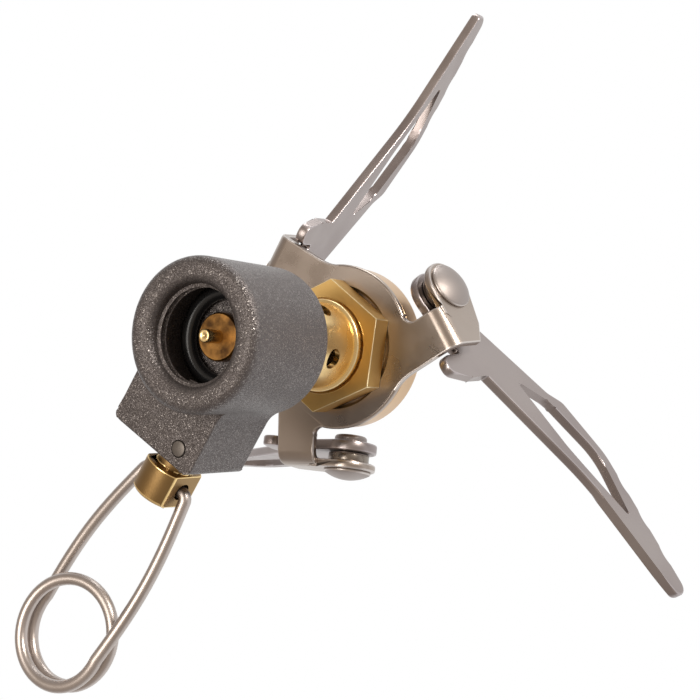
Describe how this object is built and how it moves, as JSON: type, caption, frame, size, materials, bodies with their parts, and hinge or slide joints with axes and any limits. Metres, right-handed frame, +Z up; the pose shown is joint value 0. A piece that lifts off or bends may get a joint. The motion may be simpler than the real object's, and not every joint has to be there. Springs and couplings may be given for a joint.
{
  "type": "camping gas burner",
  "caption": "Folding camping gas burner with a threaded canister socket, needle valve, wire handle, brass mixing tube and hinged pot supports on a bent steel bracket.",
  "frame": {"origin": "centre of the canister socket's mouth, on the burner axis", "axes": "+Z up along the burner axis from the canister to the flame, +X along the valve spindle towards the wire handle"},
  "size_m": [0.0914, 0.0769, 0.0542],
  "materials": {
    "anodised": "blasted dark grey anodised aluminium",
    "brass": "satin",
    "steel": "satin",
    "support_steel": "matte",
    "rubber": "semi-gloss"
  },
  "bodies": {
    "burner": {"valve_body": "anodised", "canister_seal": "rubber", "probe_hub": "brass", "probe_pin": "brass", "inlet_filter": "steel", "retaining_pin": "steel", "gas_jet": "brass", "mixing_tube": "brass", "hex_nut": "brass", "support_bracket": "steel", "burner_head": "brass", "flame_gauze": "steel", "flame_plate": "brass", "pivot_rivet_1": "steel", "pivot_rivet_2": "steel", "pivot_rivet_3": "steel", "spacer_washer_1": "steel", "spacer_washer_2": "steel", "spacer_washer_3": "steel"},
    "stem_seal": {"spindle_seal": "rubber"},
    "spindle": {"valve_spindle": "brass"},
    "handle": {"wire_handle": "steel"},
    "support_1": {"pot_support_1": "support_steel"},
    "support_2": {"pot_support_2": "support_steel"},
    "support_3": {"pot_support_3": "support_steel"}
  },
  "joints": [
    {"name": "stem_feed", "type": "slide", "parent": "burner", "child": "stem_seal", "axis": [1, 0, 0], "range_m": [0, 0.00113]},
    {"name": "valve_turn", "type": "hinge", "parent": "stem_seal", "child": "spindle", "pos_m": [0.0191, 0, 0.00945], "axis": [1, 0, 0], "range_deg": [0, 540]},
    {"name": "handle_swing", "type": "hinge", "parent": "spindle", "child": "handle", "pos_m": [0.0191, 0, 0.00945], "axis": [0, 1, 0], "range_deg": [-90, 70]},
    {"name": "support_fold_1", "type": "hinge", "parent": "burner", "child": "support_1", "pos_m": [0, 0.0128, 0.0341], "axis": [0.0343, 0.981, -0.1908], "range_deg": [0, 100]},
    {"name": "support_fold_2", "type": "hinge", "parent": "burner", "child": "support_2", "pos_m": [-0.01108, -0.0064, 0.0341], "axis": [-0.8667, -0.4608, -0.1908], "range_deg": [0, 100]},
    {"name": "support_fold_3", "type": "hinge", "parent": "burner", "child": "support_3", "pos_m": [0.01108, -0.0064, 0.0341], "axis": [0.8325, -0.5202, -0.1908], "range_deg": [0, 100]}
  ],
  "couplings": [
    {"joint": "stem_feed", "follows": "valve_turn", "m_per_rad": 0.00011937}
  ]
}
